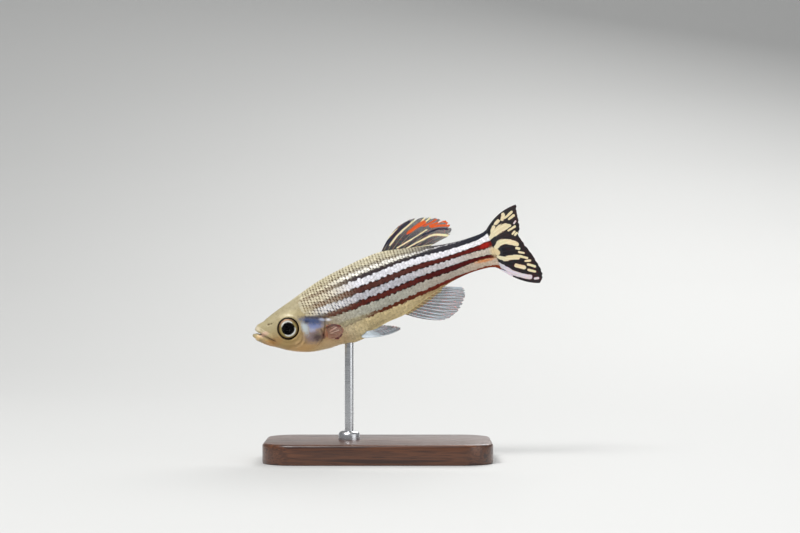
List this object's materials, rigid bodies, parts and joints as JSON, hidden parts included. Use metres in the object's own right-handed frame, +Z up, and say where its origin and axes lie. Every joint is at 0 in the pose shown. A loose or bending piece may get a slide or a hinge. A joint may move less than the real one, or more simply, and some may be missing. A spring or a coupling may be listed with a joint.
{
  "type": "zebra danio fish on a display stand",
  "caption": "Life-size striped freshwater fish swimming nose-down, with ridged fins, held over a flat base by one upright rod.",
  "frame": {"origin": "centre of the stand base's underside", "axes": "+Z up; the fish faces -X and swims 21 degrees nose-down; its left flank faces -Y"},
  "size_m": [0.046, 0.022, 0.0405],
  "materials": {
    "head_skin": "wet satin skin, olive-gold",
    "flank_skin": "wet scales, silver-white and maroon stripes",
    "gill_skin": "silver and violet-blue sheen",
    "eye": "high gloss",
    "dorsal_fin": "translucent membrane, orange and cream rays",
    "clear_fin": "translucent membrane, silvery rays",
    "tail_fin": "translucent membrane, black and cream bands",
    "pectoral_fin": "translucent membrane, salmon rays",
    "base_wood": "dark satin wood",
    "rod_steel": "brushed"
  },
  "bodies": {
    "root": {"head": "head_skin", "jaw": "head_skin", "trunk": "flank_skin", "tail_stalk": "flank_skin", "eye_left": "eye", "eye_right": "eye", "gill_cover_left": "gill_skin", "gill_cover_right": "gill_skin", "fin_dorsal": "dorsal_fin", "fin_anal": "clear_fin", "fin_tail": "tail_fin", "fin_pelvic_left": "clear_fin", "fin_pelvic_right": "clear_fin", "fin_pectoral_left": "pectoral_fin", "fin_pectoral_right": "pectoral_fin", "stand_base": "base_wood", "stand_collar": "rod_steel", "stand_rod": "rod_steel"}
  },
  "joints": []
}
